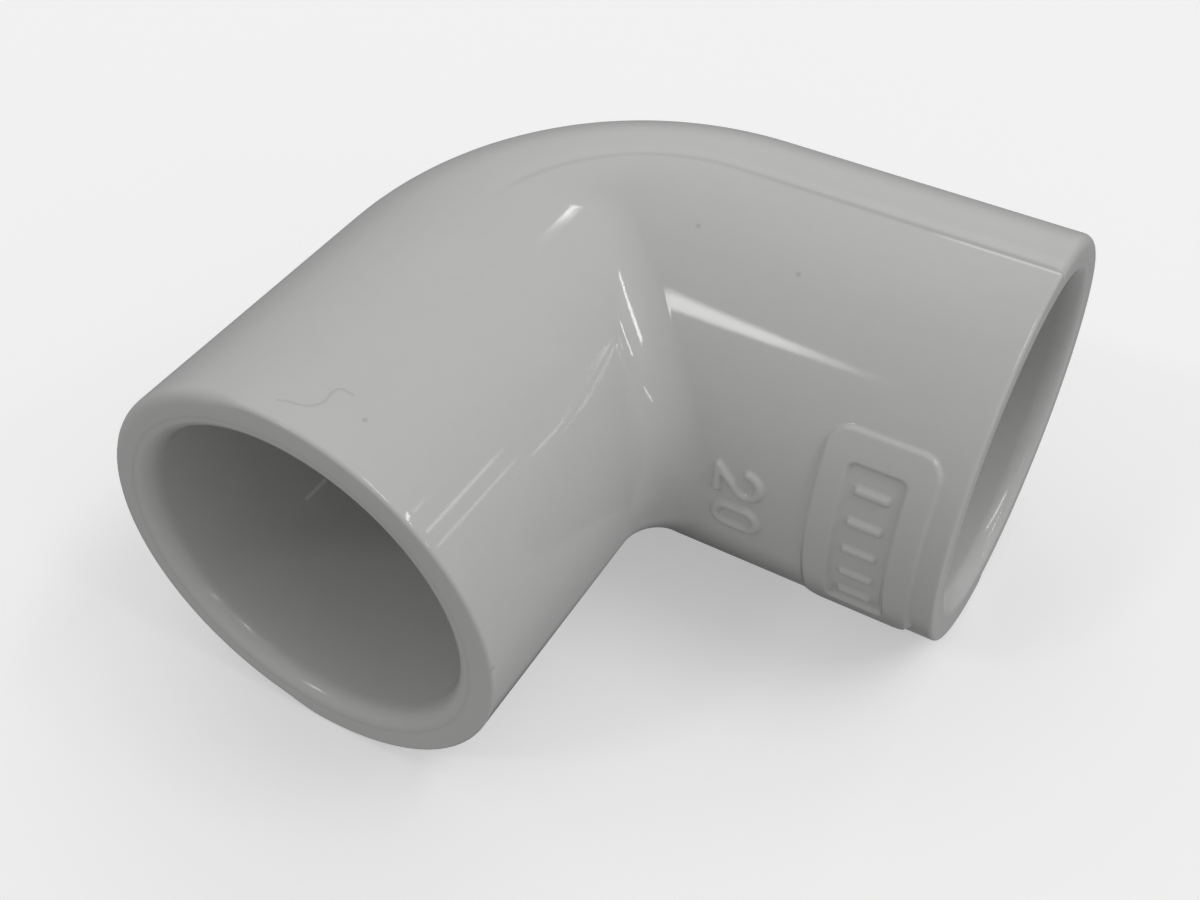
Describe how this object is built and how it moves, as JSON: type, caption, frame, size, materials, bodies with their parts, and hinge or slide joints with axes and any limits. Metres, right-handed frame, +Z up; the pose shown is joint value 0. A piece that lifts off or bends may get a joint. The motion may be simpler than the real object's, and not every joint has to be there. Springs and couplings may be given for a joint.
{
  "type": "pipe elbow",
  "caption": "Quarter-turn slip elbow for small plastic pressure pipe, moulded in one piece, with a plain socket at each end.",
  "frame": {"origin": "centre of the footprint, on the surface that the elbow lies on; the crossing of the two socket axes is at (-0.011375, -0.011375, 0.01665)", "axes": "+X out of socket A, +Y out of socket B, +Z up, square to the plane of the two sockets"},
  "size_m": [0.056, 0.056, 0.0333],
  "materials": {
    "pvc": "light grey rigid PVC, as moulded, with a soft gloss"
  },
  "bodies": {
    "root": {"elbow_body": "pvc"}
  },
  "joints": []
}
